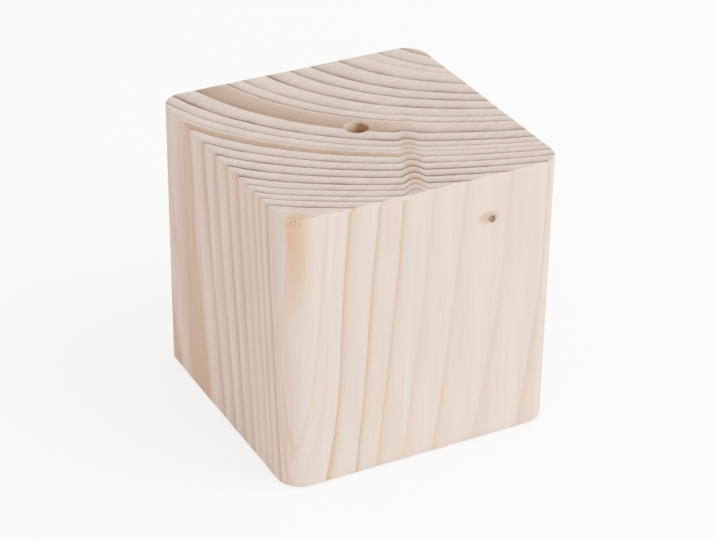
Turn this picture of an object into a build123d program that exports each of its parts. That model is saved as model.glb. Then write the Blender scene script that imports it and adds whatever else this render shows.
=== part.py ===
import math
import os

from build123d import *

# A wooden cube cut from planed square timber, with one blind hole drilled in the upper end.
# All lengths are millimetres. The origin is the middle of the base, and +Z runs along the grain.

# The timber: a square stick with rounded long edges, cut as long as it is wide.
cube_side = 70.0
edge_radius = 6.0
# The saw's sharp edges round both ends, taken off with a touch of sandpaper.
end_break = 0.4

# The hole in the middle of the upper end.
hole_diameter = 6.0
# Depth of the straight wall, from the upper end down to where the drill's point starts.
hole_depth = 25.0
drill_point_angle = 118.0
# The drilled rim is left almost sharp.
mouth_break = 0.1

# Values that follow from the sizes above.
half_share = 0.5
hole_radius = hole_diameter * half_share
mouth_radius = hole_radius + mouth_break
half_angle = math.radians(drill_point_angle * half_share)
point_depth = hole_radius / math.tan(half_angle)
wall_foot = cube_side - hole_depth
wall_head = cube_side - mouth_break
point_foot = wall_foot - point_depth

with BuildPart() as cube:
    # The stick's section, pushed up to the cut length.
    with BuildSketch(Plane.XY):
        RectangleRounded(cube_side, cube_side, edge_radius)
    extrude(amount=cube_side)

    # The eased edges round the lower and the upper end.
    lower_end = cube.faces().sort_by(Axis.Z)[0]
    upper_end = cube.faces().sort_by(Axis.Z)[-1]
    chamfer(lower_end.edges() + upper_end.edges(), length=end_break)

    # The drilled hole: a broken mouth, a straight wall and the drill's conical point.
    with BuildSketch(Plane.XZ):
        with BuildLine():
            Polyline(
                (0, point_foot),
                (hole_radius, wall_foot),
                (hole_radius, wall_head),
                (mouth_radius, cube_side),
                (0, cube_side),
                close=True,
            )
        make_face()
    revolve(axis=Axis.Z, mode=Mode.SUBTRACT)

cube.part.label = "cube"

os.makedirs("parts", exist_ok=True)
export_step(cube.part, "parts/cube.step")
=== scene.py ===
import math

import bpy
import numpy as np
from mathutils import Matrix, Vector


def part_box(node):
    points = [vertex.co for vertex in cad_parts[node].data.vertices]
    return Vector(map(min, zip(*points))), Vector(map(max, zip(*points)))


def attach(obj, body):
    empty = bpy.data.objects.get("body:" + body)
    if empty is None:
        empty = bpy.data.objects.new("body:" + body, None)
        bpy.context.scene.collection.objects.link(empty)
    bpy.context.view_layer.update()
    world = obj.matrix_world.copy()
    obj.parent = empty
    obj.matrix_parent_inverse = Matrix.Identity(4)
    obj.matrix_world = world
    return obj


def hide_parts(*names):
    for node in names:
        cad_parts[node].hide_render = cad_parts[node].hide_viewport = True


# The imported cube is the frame: everything below is placed from its box.
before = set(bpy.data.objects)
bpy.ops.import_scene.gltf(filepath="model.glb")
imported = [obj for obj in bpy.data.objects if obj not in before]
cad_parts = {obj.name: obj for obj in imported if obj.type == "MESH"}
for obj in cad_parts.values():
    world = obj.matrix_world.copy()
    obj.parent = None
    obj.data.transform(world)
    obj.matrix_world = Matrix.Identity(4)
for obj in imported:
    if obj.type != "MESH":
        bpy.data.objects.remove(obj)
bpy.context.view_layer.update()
low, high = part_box("cube")

# Sizes in millimetres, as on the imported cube. One unit of the frame is a metre.
MM = 0.001
SIDE = (high.x - low.x) / MM
HALF = SIDE / 2
EDGE_RADIUS = 6.0
END_BREAK = 0.4
HOLE_RADIUS = 3.0
HOLE_DEPTH = 25.0
POINT_DEPTH = 1.8
MOUTH_BREAK = 0.1

# Rows of the drill's feed mark on the hole's wall: how deep, and how far apart.
FEED_DEPTH = 0.02
FEED_PITCH = 1.1

# Unevenness of the eased edges and the torn rim: waves in one turn, then how much, the least and the most.
CHANCE_SEED = 11
UPPER_WAVES = (3, 7, 12, 19, 31, 47)
LOWER_WAVES = (4, 6, 13, 23, 29)
MOUTH_WAVES = (2, 5, 9, 14)
EDGE_UNEVEN = (0.3, 0.45, 1.7)
MOUTH_UNEVEN = (0.35, 0.3, 1.8)

# How the visible mesh is divided. The straight rows keep clear of the eased edges.
CORNERS = 4
SIDE_STEPS = 72
CORNER_STEPS = 12
HEIGHT_STEPS = 36
END_STEPS = 44
BASE_STEPS = 28
BREAK_STEPS = 4
WALL_STEPS = 40
POINT_STEPS = 5
COLUMNS = CORNERS * (CORNER_STEPS + SIDE_STEPS)
EDGE_ROOM = 2 * END_BREAK
QUARTER_TURN = math.pi / 2
FULL_TURN = 2 * math.pi


# The rounded square section, and smooth unevenness along it.


def section(inset):
    """Points round the section, pulled in by inset, which may differ from point to point."""
    reach = HALF - EDGE_RADIUS
    corners = [(reach, -reach), (reach, reach), (-reach, reach), (-reach, -reach)]
    out, normals = [], []
    for k, (cx, cy) in enumerate(corners):
        start = (k - 1) * QUARTER_TURN
        for i in range(CORNER_STEPS):
            angle = start + i / CORNER_STEPS * QUARTER_TURN
            normal = (math.cos(angle), math.sin(angle))
            out.append((cx + EDGE_RADIUS * normal[0], cy + EDGE_RADIUS * normal[1]))
            normals.append(normal)
        nx, ny = math.cos(start + QUARTER_TURN), math.sin(start + QUARTER_TURN)
        end = corners[(k + 1) % CORNERS]
        for i in range(SIDE_STEPS):
            share = i / SIDE_STEPS
            px = cx + (end[0] - cx) * share + EDGE_RADIUS * nx
            py = cy + (end[1] - cy) * share + EDGE_RADIUS * ny
            out.append((px, py))
            normals.append((nx, ny))
    return np.array(out) - np.array(normals) * np.reshape(inset, (-1, 1))


chance = np.random.default_rng(CHANCE_SEED)


def uneven(waves, amount, least, most):
    """Smooth closed unevenness about one, for every column of the mesh."""
    turn = np.linspace(0, FULL_TURN, COLUMNS, endpoint=False)
    total = np.zeros(COLUMNS)
    for wave in waves:
        total += np.sin(wave * turn + chance.uniform(0, FULL_TURN))
    return np.clip(1 + amount * total / math.sqrt(len(waves)), least, most)


plain = section(0.0)
turns = np.arctan2(plain[:, 1], plain[:, 0])
round_ways = np.stack([np.cos(turns), np.sin(turns)], 1)
break_high = END_BREAK * uneven(UPPER_WAVES, *EDGE_UNEVEN)
break_low = END_BREAK * uneven(LOWER_WAVES, *EDGE_UNEVEN)
torn_break = MOUTH_BREAK * uneven(MOUTH_WAVES, *MOUTH_UNEVEN)

# Every row is one loop of points, from the middle of the base round the outside and down into the hole.
rows = []


def add_row(flat, height):
    rows.append(np.column_stack([flat, np.broadcast_to(height, (COLUMNS,))]))


def add_round_row(radius, height):
    radii = np.broadcast_to(radius, (COLUMNS,))
    add_row(round_ways * np.reshape(radii, (-1, 1)), height)


def shares(steps):
    """Even shares up to one, without zero."""
    return np.linspace(0, 1, steps + 1)[1:]


def bent(steps):
    """Shares of a quarter turn, for the eased edges."""
    return [(math.sin(s), 1 - math.cos(s)) for s in np.linspace(0, QUARTER_TURN, steps + 1)]


base_edge = section(break_low)
upper_edge = section(break_high)
mouth = round_ways * np.reshape(HOLE_RADIUS + torn_break, (-1, 1))
wall_head = SIDE - EDGE_ROOM
for share in shares(BASE_STEPS):
    add_row(base_edge * share, 0.0)
for along, up in bent(BREAK_STEPS)[1:]:
    add_row(section(break_low * (1 - along)), break_low * up)
for share in shares(HEIGHT_STEPS)[:-1]:
    add_row(plain, EDGE_ROOM + (wall_head - EDGE_ROOM) * share)
for along, up in reversed(bent(BREAK_STEPS)):
    add_row(section(break_high * (1 - along)), SIDE - break_high * up)
for share in shares(END_STEPS):
    add_row(upper_edge * (1 - share) + mouth * share, SIDE)
for along, up in bent(BREAK_STEPS)[1:]:
    add_round_row(HOLE_RADIUS + torn_break * (1 - along), SIDE - MOUTH_BREAK * up)
for share in shares(WALL_STEPS):
    depth = MOUTH_BREAK + (HOLE_DEPTH - MOUTH_BREAK) * share
    feed = FEED_DEPTH * np.sin(turns + depth * FULL_TURN / FEED_PITCH)
    add_round_row(HOLE_RADIUS + feed, SIDE - depth)
for share in shares(POINT_STEPS)[:-1]:
    add_round_row(HOLE_RADIUS * (1 - share), SIDE - HOLE_DEPTH - POINT_DEPTH * share)

verts = [(0.0, 0.0, 0.0)]
for row in rows:
    verts.extend(map(tuple, row * MM))
verts.append((0.0, 0.0, (SIDE - HOLE_DEPTH - POINT_DEPTH) * MM))
last = 1 + (len(rows) - 1) * COLUMNS
faces = []
for i in range(COLUMNS):
    j = (i + 1) % COLUMNS
    faces.append((0, 1 + j, 1 + i))
    for k in range(len(rows) - 1):
        a, b = 1 + k * COLUMNS, 1 + (k + 1) * COLUMNS
        faces.append((a + i, a + j, b + j, b + i))
    faces.append((last + i, last + j, len(verts) - 1))
mesh = bpy.data.meshes.new("cube_wood")
mesh.from_pydata(verts, [], faces)
mesh.validate()
mesh.shade_smooth()
cube = bpy.data.objects.new("cube_wood", mesh)
bpy.context.scene.collection.objects.link(cube)
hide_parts("cube")
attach(cube, "root")

# The wood: one solid pattern through the whole block, in millimetres of the cube's own frame.
# Changes are smooth steps: one pair says where a step starts and ends, and another what it goes from and to.

# Each ring is a circle whose middle slides as it grows, a little flattened one way and drawn out the other.
RING_MIDDLE = (70.3, 41.6)
RING_SLIDE = (-0.312, 0.233)
FLATTEN = (-0.00042, 0.00087)
# The tree tapers, so rings lie further out lower down: by how much at the foot, on the left and elsewhere.
TAPER = (5.3, 2.6)
TAPER_CHANGE = (-35.0, -21.5)
TAPER_POWER = 1.2
# Rings sag on one side of a ray, and ripple towards the pith along it, near the upper end.
RAY_POINT = (14.93, -2.17)
RAY_ANGLE = math.radians(62.5)
SAG = 0.00364
RIPPLE = 0.066
RIPPLE_START = 62.0
RIPPLE_RISE = (-4.3, -1.6)
RIPPLE_FALL = (-1.0, 1.8)
RIPPLE_LEAN = (1.3, -0.1)
RIPPLE_LEAN_RINGS = (74.0, 110.0)
RIPPLE_HEIGHTS = (68.4, 69.5)
# Close under the front, the left face and the rounded edge between them the rings move out or in a little.
PULL_DEPTH = 5.0
FRONT_PULL_LOW = -0.2
FRONT_PULL_HIGH = (-0.80, -0.36)
FRONT_PULL_CHANGE = (-20.0, -8.0)
FRONT_PULL_HEIGHTS = (18.0, 60.0)
FRONT_HEAD = (69.1, 69.9)
FRONT_HEAD_SHARE = 0.3
RIGHT_PULL = 0.75
RIGHT_PULL_START = (10.0, 20.0)
RIGHT_HEAD = (40.0, 71.0)
RIGHT_HEAD_SHARE = 0.3
LEFT_PULL = 0.4
EDGE_PULL = 1.1
EDGE_PULL_DEPTH = 6.0
# Natural unevenness of the rings: how far they stray, and how long the swells are each way.
WANDER = 0.4
WANDER_SIZE = (13.0, 13.0, 60.0)
JITTER = 0.3
JITTER_SIZE = (2.2, 2.2, 26.0)

# Outer radius of each ring, and how dark its late wood is on the ends and on the sides.
RINGS = [
    (18.8, 0.60, 0.46), (23.8, 0.60, 0.46), (28.9, 0.70, 0.50), (34.1, 0.60, 0.46), (38.9, 0.48, 0.50),
    (42.1, 0.20, 0.30), (47.5, 0.70, 0.54), (53.4, 0.74, 0.58), (57.8, 0.76, 0.54), (62.8, 0.77, 0.54),
    (67.6, 0.44, 0.38), (70.7, 0.70, 0.54), (77.0, 0.78, 0.38), (81.7, 0.89, 0.50), (84.8, 0.52, 0.10),
    (87.4, 0.36, 0.08), (90.3, 0.71, 0.27), (94.0, 0.75, 0.70), (97.8, 0.98, 0.58), (101.6, 1.00, 0.72),
    (105.4, 0.95, 0.58), (108.5, 0.63, 0.33), (111.5, 0.75, 0.58), (114.0, 0.73, 0.66), (117.2, 0.94, 1.00),
    (118.6, 0.12, 0.16), (119.6, 0.30, 0.30), (121.2, 0.30, 0.05), (123.4, 0.40, 0.10), (125.5, 0.50, 0.20),
    (128.0, 0.50, 0.20),
]
FIRST, LAST = RINGS[0][0], RINGS[-1][0]

wood = bpy.data.materials.new("spruce")
wood.use_nodes = True
tree = wood.node_tree
tree.nodes.clear()

# Short names for the shader's sums, and the usual settings of its noise.
NOISE_MIDDLE = 0.5
DETAIL = 2.0
ROUGH = 0.5


def put(socket, value):
    if isinstance(value, bpy.types.NodeSocket):
        tree.links.new(value, socket)
    elif value is not None:
        socket.default_value = value


def calc(operation, a, b=None, c=None, clamp=False):
    node = tree.nodes.new("ShaderNodeMath")
    node.operation = operation
    node.use_clamp = clamp
    put(node.inputs[0], a)
    put(node.inputs[1], b)
    put(node.inputs[2], c)
    return node.outputs[0]


def times(a, b):
    return calc("MULTIPLY", a, b)


def plus(a, b):
    return calc("ADD", a, b)


def minus(a, b):
    return calc("SUBTRACT", a, b)


def fused(a, b, c):
    """a times b, plus c."""
    return calc("MULTIPLY_ADD", a, b, c)


def far(a, b):
    """Distance, from its two parts."""
    return calc("SQRT", fused(a, a, times(b, b)))


def joined(a, b, c):
    node = tree.nodes.new("ShaderNodeCombineXYZ")
    put(node.inputs[0], a)
    put(node.inputs[1], b)
    put(node.inputs[2], c)
    return node.outputs[0]


def stretched(a, b, c, size):
    """A place, divided by a size for each way."""
    return joined(calc("DIVIDE", a, size[0]), calc("DIVIDE", b, size[1]), calc("DIVIDE", c, size[2]))


def noise(place, detail=DETAIL, rough=ROUGH):
    node = tree.nodes.new("ShaderNodeTexNoise")
    put(node.inputs["Vector"], place)
    put(node.inputs["Scale"], 1.0)
    put(node.inputs["Detail"], detail)
    put(node.inputs["Roughness"], rough)
    return node.outputs["Fac"]


def swing(place, detail=DETAIL, rough=ROUGH):
    """Noise about zero."""
    return minus(noise(place, detail, rough), NOISE_MIDDLE)


def between(value, start, end, to_low=0.0, to_high=1.0):
    """A smooth step of value from start to end."""
    node = tree.nodes.new("ShaderNodeMapRange")
    node.interpolation_type = "SMOOTHSTEP"
    put(node.inputs["Value"], value)
    put(node.inputs["From Min"], start)
    put(node.inputs["From Max"], end)
    put(node.inputs["To Min"], to_low)
    put(node.inputs["To Max"], to_high)
    return node.outputs["Result"]


def curve(value, points):
    """A line through points, both ways between zero and one."""
    node = tree.nodes.new("ShaderNodeFloatCurve")
    line = node.mapping.curves[0]
    while len(line.points) < len(points):
        line.points.new(0.5, 0.5)
    for point, spot in zip(line.points, points):
        point.location = spot
        point.handle_type = "VECTOR"
    node.mapping.update()
    put(node.inputs["Value"], value)
    return node.outputs["Value"]


def blend(share, first, second, how="MIX"):
    """Two colours, mixed."""
    node = tree.nodes.new("ShaderNodeMix")
    node.data_type = "RGBA"
    node.blend_type = how
    put(node.inputs[0], share)
    put(node.inputs[6], first)
    put(node.inputs[7], second)
    return node.outputs[2]


def mixed(share, first, second):
    """Two values, mixed."""
    node = tree.nodes.new("ShaderNodeMix")
    put(node.inputs[0], share)
    put(node.inputs[2], first)
    put(node.inputs[3], second)
    return node.outputs[0]


# The place in the wood, and how the surface lies there.
spots = tree.nodes.new("ShaderNodeTexCoord")
parted = tree.nodes.new("ShaderNodeSeparateXYZ")
tree.links.new(spots.outputs["Object"], parted.inputs[0])
x = calc("DIVIDE", parted.outputs[0], MM)
y = calc("DIVIDE", parted.outputs[1], MM)
z = calc("DIVIDE", parted.outputs[2], MM)
facing = tree.nodes.new("ShaderNodeSeparateXYZ")
tree.links.new(spots.outputs["Normal"], facing.inputs[0])
face_x, _, face_z = facing.outputs

# Both ends differ from the sides, and the left side shows softer lines and warmer wood than the other sides.
END_TILT = (0.7, 0.97)
LEFT_TILT = (-0.8, -0.4)
end_grain = between(calc("ABSOLUTE", face_z), *END_TILT)
off_left = between(face_x, *LEFT_TILT)


def grained(size, detail=DETAIL, rough=ROUGH):
    """Noise about zero in the wood, drawn out to a size each way."""
    return swing(stretched(x, y, z, size), detail, rough)


def by_face(left, others, ends):
    """One value for the left side, one for the other sides and one for the ends."""
    return mixed(end_grain, mixed(off_left, left, others), ends)


def colour_by_face(left, others, ends):
    """The same for colours."""
    return blend(end_grain, blend(off_left, left, others), ends)


# Distance from the pith, on circles with a sliding middle.
SPREAD = 1 - RING_SLIDE[0] ** 2 - RING_SLIDE[1] ** 2
away_x = minus(x, RING_MIDDLE[0])
away_y = minus(y, RING_MIDDLE[1])
away_square = fused(away_x, away_x, times(away_y, away_y))
slid = fused(away_x, RING_SLIDE[0], times(away_y, RING_SLIDE[1]))
under_root = fused(slid, slid, times(away_square, SPREAD))
round_radius = calc("DIVIDE", minus(calc("SQRT", under_root), slid), SPREAD)
flattened = fused(times(x, x), FLATTEN[0], fused(times(y, y), FLATTEN[1], round_radius))
drop = calc("POWER", calc("DIVIDE", minus(SIDE, z), SIDE, clamp=True), TAPER_POWER)
tapered = minus(flattened, times(drop, between(x, *TAPER_CHANGE, *TAPER)))

# The sag and the ripple.
beside = minus(
    times(minus(x, RAY_POINT[0]), math.sin(RAY_ANGLE)),
    times(minus(y, RAY_POINT[1]), math.cos(RAY_ANGLE)),
)
right_of = calc("MAXIMUM", beside, 0.0)
sagged = minus(tapered, times(times(right_of, right_of), SAG))
swell = times(calc("MAXIMUM", minus(sagged, RIPPLE_START), 0.0), RIPPLE)
hump_beside = plus(beside, between(sagged, *RIPPLE_LEAN_RINGS, *RIPPLE_LEAN))
hump = times(between(hump_beside, *RIPPLE_RISE), between(hump_beside, *RIPPLE_FALL, 1.0, 0.0))
rippled = fused(swell, times(hump, between(z, *RIPPLE_HEIGHTS)), sagged)

# The pull close under the faces, and the natural unevenness.
front_high = between(x, *FRONT_PULL_CHANGE, *FRONT_PULL_HIGH)
front_pull = between(z, *FRONT_PULL_HEIGHTS, FRONT_PULL_LOW, front_high)
front_pull = times(front_pull, between(z, *FRONT_HEAD, 1.0, FRONT_HEAD_SHARE))
right_pull = times(between(z, *RIGHT_HEAD, 1.0, RIGHT_HEAD_SHARE), RIGHT_PULL)
by_front = times(
    between(y, -HALF, PULL_DEPTH - HALF, 1.0, 0.0),
    between(x, *RIGHT_PULL_START, front_pull, right_pull),
)
by_left = between(x, -HALF, PULL_DEPTH - HALF, LEFT_PULL, 0.0)
by_edge = times(
    between(x, -HALF, EDGE_PULL_DEPTH - HALF, EDGE_PULL, 0.0),
    between(y, -HALF, EDGE_PULL_DEPTH - HALF, 1.0, 0.0),
)
settled = plus(plus(rippled, by_edge), plus(by_front, by_left))
uneven_radius = fused(grained(WANDER_SIZE), WANDER, fused(grained(JITTER_SIZE), JITTER, settled))

# A pin knot on the front face, which pushes the rings aside.
KNOT = (16.4, -35.0, 58.9)
KNOT_LEAN = 0.2
KNOT_ROOT = (-26.0, -18.0)
KNOT_PUSH = 0.8
KNOT_PUSH_REACH = (0.4, 3.2)
knot_x = minus(x, fused(minus(y, KNOT[1]), KNOT_LEAN, KNOT[0]))
knot_z = minus(z, KNOT[2])
knot_far = far(knot_x, knot_z)
knot_here = between(y, *KNOT_ROOT, 1.0, 0.0)
radius = fused(between(knot_far, *KNOT_PUSH_REACH, KNOT_PUSH, 0.0), knot_here, uneven_radius)

# Ring number, place within the ring, and darkness of its late wood.
COUNT = len(RINGS) - 1


def ring_place(edge):
    return max(0.0, (edge - FIRST) / (LAST - FIRST))


place = calc("DIVIDE", minus(radius, FIRST), LAST - FIRST)
number = curve(place, [(ring_place(ring[0]), k / COUNT) for k, ring in enumerate(RINGS)])
end_tone = curve(place, [(ring_place(ring[0]), ring[1]) for ring in RINGS])
side_tone = curve(place, [(ring_place(ring[0]), ring[2]) for ring in RINGS])
within = calc("FRACT", times(number, float(COUNT)))

# How the late wood darkens across one ring: on the ends, on the left side and on the other sides.
on_ends = curve(within, [
    (0.0, 0.15), (0.03, 0.0), (0.30, 0.07), (0.55, 0.18), (0.70, 0.30), (0.81, 0.50),
    (0.89, 0.86), (0.94, 1.0), (0.985, 0.92), (1.0, 0.15),
])
on_left = curve(within, [
    (0.0, 0.5), (0.05, 0.18), (0.12, 0.03), (0.35, 0.12), (0.55, 0.32), (0.72, 0.58),
    (0.84, 0.86), (0.92, 1.0), (0.97, 0.85), (1.0, 0.5),
])
on_others = curve(within, [
    (0.0, 0.35), (0.03, 0.06), (0.10, 0.0), (0.50, 0.05), (0.72, 0.20), (0.86, 0.46),
    (0.93, 0.85), (0.965, 1.0), (0.99, 0.8), (1.0, 0.35),
])

# Late wood comes and goes along the rings. On the sides it fades past the ray, and returns on the far right.
PATCH_SIZE = (8.0, 8.0, 90.0)
PATCH_NOISE = (0.3, 0.7)
PATCH_TONES = (0.75, 1.12)
FADE_REACH = (-10.0, 18.0)
FADE_TONE = 0.34
RETURN_REACH = (20.0, 27.0)
RETURN_TONE = 0.8
patchy = between(noise(stretched(x, y, z, PATCH_SIZE)), *PATCH_NOISE, *PATCH_TONES)
faded = between(beside, *FADE_REACH, 1.0, FADE_TONE)
right_fade = calc("MAXIMUM", faded, between(beside, *RETURN_REACH, 0.0, RETURN_TONE))
side_dark = times(times(mixed(off_left, on_left, on_others), side_tone), right_fade)

# Brown bands by ring radius: two on the ends, a narrow and a broad one on the sides. All fade past the ray.
END_BANDS = [
    (0.0, 0.0), (70.7, 0.0), (71.4, 0.6), (73.2, 0.8), (76.2, 1.0), (77.0, 0.0), (87.4, 0.0), (88.0, 0.45),
    (88.8, 0.95), (89.9, 1.0), (90.4, 0.0), (LAST, 0.0),
]
SIDE_BANDS = [(0.0, 0.0), (77.0, 0.0), (79.5, 0.6), (82.0, 0.6), (82.7, 0.0), (LAST, 0.0)]
END_BAND_REACH = (-12.0, 5.0)
END_BAND_TONES = (0.85, 0.1)
SIDE_BAND_REACH = (-12.0, 12.0)
SIDE_BAND_TONES = (0.85, 0.2)
BAND_MASK = 0.5
RIPPLE_TINT = 0.3
RIPPLE_TINT_RINGS = (68.0, 82.0)
BROAD_START = 82.4
BROAD_RISE = 4.26
BROAD_POWER = 1.86
BROAD_EDGE = 2.9
BROAD_TONES = (1.08, 0.74)
BROAD_END = (89.0, 90.0)
BROAD_END_HEIGHTS = (40.0, 70.0)
BROAD_END_EDGE = 0.7


def banded(points):
    return curve(place, [(ring_place(edge), amount) for edge, amount in points])


end_band = times(banded(END_BANDS), between(beside, *END_BAND_REACH, *END_BAND_TONES))
end_dark = times(times(on_ends, end_tone), fused(end_band, -BAND_MASK, 1.0))
dark = times(mixed(end_grain, side_dark, end_dark), patchy)
ripple_tint = times(times(hump, RIPPLE_TINT), between(sagged, *RIPPLE_TINT_RINGS))
end_band = calc("MAXIMUM", end_band, ripple_tint)
broad_from = fused(calc("POWER", calc("DIVIDE", z, SIDE, clamp=True), BROAD_POWER), BROAD_RISE, BROAD_START)
broad_to = between(z, *BROAD_END_HEIGHTS, *BROAD_END)
broad_fall = between(radius, broad_to, plus(broad_to, BROAD_END_EDGE), 1.0, 0.0)
broad = times(between(radius, broad_from, plus(broad_from, BROAD_EDGE)), broad_fall)
broad = times(broad, between(z, 0.0, SIDE, *BROAD_TONES))
side_band = calc("MAXIMUM", broad, banded(SIDE_BANDS))
side_band = times(side_band, between(beside, *SIDE_BAND_REACH, *SIDE_BAND_TONES))
band = mixed(end_grain, side_band, end_band)

# Fine fibres: streaks on the sides, grains on the ends. Broad streaks, clouds and pinker wood lie below.
FIBRE_SIZE = (0.45, 0.45, 16.0)
FIBRE_DETAIL = 3.0
STREAK_SIZE = (1.5, 1.5, 70.0)
CLOUD_SIZE = (18.0, 18.0, 60.0)
PINK_SIZE = (2.4, 2.4, 48.0)
PINK_NOISE = (0.35, 0.65)
ROUGHER = 0.6
fibre = grained(FIBRE_SIZE, FIBRE_DETAIL, ROUGHER)
streak = grained(STREAK_SIZE, rough=ROUGHER)
cloud = grained(CLOUD_SIZE)
pinker = between(noise(stretched(x, y, z, PINK_SIZE)), *PINK_NOISE)

# Colours, as shares of light given back: on the left side, on the other sides and on the ends.
EARLY = [(0.757, 0.640, 0.566, 1.0), (0.738, 0.659, 0.600, 1.0), (0.772, 0.667, 0.604, 1.0)]
LATE = [(0.565, 0.388, 0.285, 1.0), (0.560, 0.362, 0.196, 1.0), (0.275, 0.184, 0.130, 1.0)]
LATE_STRENGTH = (1.03, 0.80, 1.06)
BROWN_SIDE = (0.650, 0.472, 0.352, 1.0)
BROWN_END = (0.535, 0.370, 0.262, 1.0)
PINK = (1.0, 0.955, 0.935, 1.0)
PINK_SIDE_STRENGTH = 0.75
PINK_END_STRENGTH = 0.5
colour = blend(band, colour_by_face(*EARLY), blend(end_grain, BROWN_SIDE, BROWN_END))
late_share = calc("MULTIPLY", dark, by_face(*LATE_STRENGTH), clamp=True)
colour = blend(late_share, colour, colour_by_face(*LATE))
pink_share = times(pinker, mixed(end_grain, PINK_SIDE_STRENGTH, PINK_END_STRENGTH))
colour = blend(pink_share, colour, PINK, "MULTIPLY")

# The knot's tan halo, which trails to one side, its dark heart and the paler pith in that.
HALO = (0.580, 0.400, 0.270, 1.0)
HALO_SHIFT = (-1.0, 0.6)
HALO_STRETCH = 0.65
HALO_GRIT = 1.6
HALO_REACH = (0.6, 2.4)
HALO_STRENGTH = 0.6
HEART = (0.190, 0.115, 0.080, 1.0)
HEART_GRIT = 0.6
HEART_REACH = (0.45, 1.3)
HEART_STRENGTH = 0.9
PITH = (0.560, 0.430, 0.340, 1.0)
PITH_SHIFT = (-0.28, 0.05)
PITH_REACH = (0.1, 0.5)
PITH_STRENGTH = 0.75
GRIT_SIZE = (0.9, 0.9, 0.9)
grit = grained(GRIT_SIZE)
halo_x = times(minus(knot_x, HALO_SHIFT[0]), HALO_STRETCH)
halo_z = minus(knot_z, HALO_SHIFT[1])
halo_far = fused(grit, HALO_GRIT, far(halo_x, halo_z))
heart_far = fused(grit, HEART_GRIT, knot_far)
pith_far = far(minus(knot_x, PITH_SHIFT[0]), minus(knot_z, PITH_SHIFT[1]))
colour = blend(times(between(halo_far, *HALO_REACH, HALO_STRENGTH, 0.0), knot_here), colour, HALO)
colour = blend(times(between(heart_far, *HEART_REACH, HEART_STRENGTH, 0.0), knot_here), colour, HEART)
colour = blend(times(between(pith_far, *PITH_REACH, PITH_STRENGTH, 0.0), knot_here), colour, PITH)

# A resin stain at the head of the front edge, with a few dark specks.
STAIN = (0.970, 0.825, 0.655, 1.0)
STAIN_PLACE = (-32.2, -33.9)
STAIN_REACH = (0.4, 4.4)
STAIN_HEIGHTS = (39.0, 64.0)
STAIN_RAGGED = 2.0
STAIN_SIZE = (1.6, 1.6, 14.0)
SPECK = (0.330, 0.200, 0.110, 1.0)
SPECK_PLACE = (-33.2, -33.0)
SPECK_REACH = (0.8, 2.4)
SPECK_FOOT = (67.9, 68.6)
SPECK_HEAD = (69.6, 69.95)
SPECK_SIZE = (0.5, 0.5, 1.3)
SPECK_NOISE = (0.5, 0.66)
SPECK_STRENGTH = 0.6
stain_far = far(minus(x, STAIN_PLACE[0]), minus(y, STAIN_PLACE[1]))
stain_far = fused(grained(STAIN_SIZE), STAIN_RAGGED, stain_far)
stain = times(between(stain_far, *STAIN_REACH, 1.0, 0.0), between(z, *STAIN_HEIGHTS))
colour = blend(stain, colour, STAIN, "MULTIPLY")
speck_far = far(minus(x, SPECK_PLACE[0]), minus(y, SPECK_PLACE[1]))
speck_here = times(between(speck_far, *SPECK_REACH, 1.0, 0.0), between(z, *SPECK_FOOT))
speck = between(noise(stretched(x, y, z, SPECK_SIZE)), *SPECK_NOISE, 0.0, SPECK_STRENGTH)
speck = times(times(speck, speck_here), between(z, *SPECK_HEAD, 1.0, 0.0))
colour = blend(speck, colour, SPECK)

# The drilled wall: creamy wood with painted light on the side the lamp reaches, painted shade in brown on
# the other side, and darker painted shade further down.
BORE_LIT_SIDE = (0.950, 0.800, 0.620, 1.0)
BORE_SHADED_SIDE = (0.570, 0.320, 0.165, 1.0)
BORE_DEEP_SHADE = (0.300, 0.160, 0.080, 1.0)
BORE_EDGE = 0.2
BORE_HEAD = (69.3, 69.9)
BORE_FOOT = (10.0, 20.0)
BORE_SHADE_DEPTHS = (64.3, 68.4)
SHADED_SIDE_SHARES = (0.05, 0.75)
SHADED_SIDE_GRIT = 0.5
in_bore = between(far(x, y), HOLE_RADIUS + FEED_DEPTH, HOLE_RADIUS + BORE_EDGE, 1.0, 0.0)
in_bore = times(times(in_bore, between(z, *BORE_HEAD, 1.0, 0.0)), between(z, *BORE_FOOT))
# Painted shade: the wall turns brown towards +x, the side the lamp from the right leaves in shade; the other
# side is painted lighter.
shaded_side = between(fused(grit, SHADED_SIDE_GRIT, calc("DIVIDE", x, HOLE_RADIUS)), *SHADED_SIDE_SHARES)
# Painted shade: the wall grows darker further down the hole, where less light reaches.
bore = blend(between(z, *BORE_SHADE_DEPTHS), BORE_DEEP_SHADE, blend(shaded_side, BORE_LIT_SIDE, BORE_SHADED_SIDE))
colour = blend(in_bore, colour, bore)

# Faint saw marks run straight across both ends, and rays run out from the pith.
SAW_ANGLE = math.radians(17.6)
SAW_SIZE = (9.0, 0.5, 9.0)
RAY_REACH = 100.0
RAY_SIZE = (0.5, 12.0, 12.0)
saw_along = fused(x, math.cos(SAW_ANGLE), times(y, math.sin(SAW_ANGLE)))
saw_across = fused(y, math.cos(SAW_ANGLE), times(x, -math.sin(SAW_ANGLE)))
saw = times(swing(stretched(saw_along, saw_across, z, SAW_SIZE), rough=ROUGHER), end_grain)
out_x = minus(calc("DIVIDE", away_x, round_radius), RING_SLIDE[0])
out_y = minus(calc("DIVIDE", away_y, round_radius), RING_SLIDE[1])
ray_turn = times(calc("ARCTAN2", out_y, out_x), RAY_REACH)
rays = times(swing(stretched(ray_turn, round_radius, z, RAY_SIZE), rough=ROUGHER), end_grain)
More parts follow.
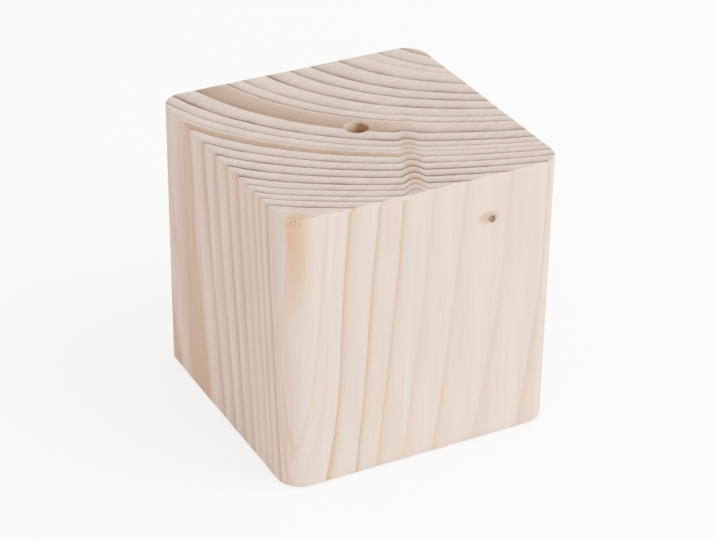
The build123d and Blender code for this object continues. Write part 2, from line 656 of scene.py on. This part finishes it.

# How much all these lighten or darken the wood. Threes are for the left side, the other sides and the ends.
# The foot is a touch lighter: painted light against the shade near the floor.
FIBRE_LIFT = (0.23, 0.11, 0.30)
STREAK_LIFT = (0.18, 0.07, 0.0)
CLOUD_LIFT = 0.07
SAW_LIFT = 0.28
RAY_LIFT = 0.14
FOOT_PAINTED_LIGHT = 1.03
lift = fused(fibre, by_face(*FIBRE_LIFT), fused(cloud, CLOUD_LIFT, 1.0))
lift = fused(streak, by_face(*STREAK_LIFT), lift)
lift = fused(saw, SAW_LIFT, fused(rays, RAY_LIFT, lift))
# Painted light: the lower half is lifted a little, where the floor shades it.
lift = times(lift, between(z, 0.0, HALF, FOOT_PAINTED_LIGHT, 1.0))
tint = tree.nodes.new("ShaderNodeVectorMath")
tint.operation = "SCALE"
put(tint.inputs[0], colour)
put(tint.inputs["Scale"], lift)

# The surface: dull, a little smoother on the late wood, with a fine relief.
SIDE_ROUGHNESS = 0.62
END_ROUGHNESS = 0.8
LATE_SMOOTHING = 0.08
SHINE = 0.3
FIBRE_RELIEF = 0.05
SAW_RELIEF = 0.06
LATE_RELIEF = 0.03
RELIEF_STRENGTH = 0.6
surface = tree.nodes.new("ShaderNodeBsdfPrincipled")
put(surface.inputs["Base Color"], tint.outputs[0])
early_roughness = mixed(end_grain, SIDE_ROUGHNESS, END_ROUGHNESS)
put(surface.inputs["Roughness"], fused(dark, -LATE_SMOOTHING, early_roughness))
put(surface.inputs["Specular IOR Level"], SHINE)
relief = fused(fibre, FIBRE_RELIEF, fused(saw, SAW_RELIEF, times(dark, LATE_RELIEF)))
bump = tree.nodes.new("ShaderNodeBump")
put(bump.inputs["Strength"], RELIEF_STRENGTH)
put(bump.inputs["Distance"], MM)
put(bump.inputs["Height"], relief)
put(surface.inputs["Normal"], bump.outputs[0])
output = tree.nodes.new("ShaderNodeOutputMaterial")
put(output.inputs["Surface"], surface.outputs[0])
mesh.materials.append(wood)

# The floor: plain, pale and large. Its reach and the gap under the cube are in metres.
FLOOR_REACH = 4.0
FLOOR_GAP = 0.0002
FLOOR_COLOUR = (0.92, 0.92, 0.92, 1.0)
FLOOR_ROUGHNESS = 0.9
floor_mesh = bpy.data.meshes.new("floor")
ways = [(-1, -1), (1, -1), (1, 1), (-1, 1)]
floor_mesh.from_pydata([(FLOOR_REACH * i, FLOOR_REACH * j, 0) for i, j in ways], [], [(0, 1, 2, 3)])
floor = bpy.data.objects.new("floor", floor_mesh)
floor.location.z = low.z - FLOOR_GAP
bpy.context.scene.collection.objects.link(floor)
pale = bpy.data.materials.new("pale_floor")
pale.use_nodes = True
pale_nodes = pale.node_tree.nodes
pale_links = pale.node_tree.links
pale_shader = pale_nodes["Principled BSDF"]
pale_shader.inputs["Base Color"].default_value = FLOOR_COLOUR
pale_shader.inputs["Roughness"].default_value = FLOOR_ROUGHNESS

# Seen straight by the camera the floor is nearly white, and it keeps part of the cube's shadow.
WHITE_SHARE = 0.7
light_path = pale_nodes.new("ShaderNodeLightPath")
white_share = pale_nodes.new("ShaderNodeMath")
white_share.operation = "MULTIPLY"
white_share.inputs[1].default_value = WHITE_SHARE
white = pale_nodes.new("ShaderNodeEmission")
floor_mix = pale_nodes.new("ShaderNodeMixShader")
pale_links.new(light_path.outputs["Is Camera Ray"], white_share.inputs[0])
pale_links.new(white_share.outputs[0], floor_mix.inputs[0])
pale_links.new(pale_shader.outputs[0], floor_mix.inputs[1])
pale_links.new(white.outputs[0], floor_mix.inputs[2])
pale_links.new(floor_mix.outputs[0], pale_nodes["Material Output"].inputs["Surface"])
floor_mesh.materials.append(pale)

# Soft studio light: a bright room, a broad lamp from the right and a weak one before the front edge.
# Each lamp has a name, a place and a width in metres, and a power in watts.
ROOM_COLOUR = (1.0, 1.0, 1.0, 1.0)
ROOM_STRENGTH = 0.8
LAMPS = [
    ("key", (0.82, -0.74, 0.75), 1.2, 6.0),
    ("fill", (-0.75, -0.85, 0.25), 0.8, 1.6),
]
world = bpy.data.worlds.new("room")
bpy.context.scene.world = world
world.use_nodes = True
room = world.node_tree.nodes["Background"]
room.inputs["Color"].default_value = ROOM_COLOUR
room.inputs["Strength"].default_value = ROOM_STRENGTH
middle = Vector((0, 0, HALF * MM))
for name, lamp_place, width, power in LAMPS:
    lamp_data = bpy.data.lights.new(name, "AREA")
    lamp_data.shape = "SQUARE"
    lamp_data.size = width
    lamp_data.energy = power
    lamp = bpy.data.objects.new(name, lamp_data)
    lamp.location = lamp_place
    lamp.rotation_mode = "QUATERNION"
    lamp.rotation_quaternion = (middle - lamp.location).to_track_quat("-Z", "Y")
    bpy.context.scene.collection.objects.link(lamp)

# The camera, at the photo's angle. Its place is in sides of the cube, its sensor and lens in millimetres.
AZIMUTH = math.radians(-28.03)
ELEVATION = math.radians(29.84)
ROLL = math.radians(0.75)
CAMERA_SHARES = (-3.1286, -5.9013, 4.2862)
SENSOR = 36.0
LENS = 112.8
back = Vector((
    math.sin(AZIMUTH) * math.cos(ELEVATION),
    -math.cos(AZIMUTH) * math.cos(ELEVATION),
    math.sin(ELEVATION),
))
lens = bpy.data.cameras.new("camera")
lens.sensor_width = SENSOR
lens.lens = LENS
camera = bpy.data.objects.new("camera", lens)
bpy.context.scene.collection.objects.link(camera)
camera.rotation_mode = "QUATERNION"
turned = (-back).to_track_quat("-Z", "Y").to_matrix().to_4x4() @ Matrix.Rotation(ROLL, 4, "Z")
camera.rotation_quaternion = turned.to_quaternion()
camera.location = Vector(CAMERA_SHARES) * SIDE * MM
bpy.context.scene.camera = camera
bpy.context.scene.view_settings.view_transform = "Standard"
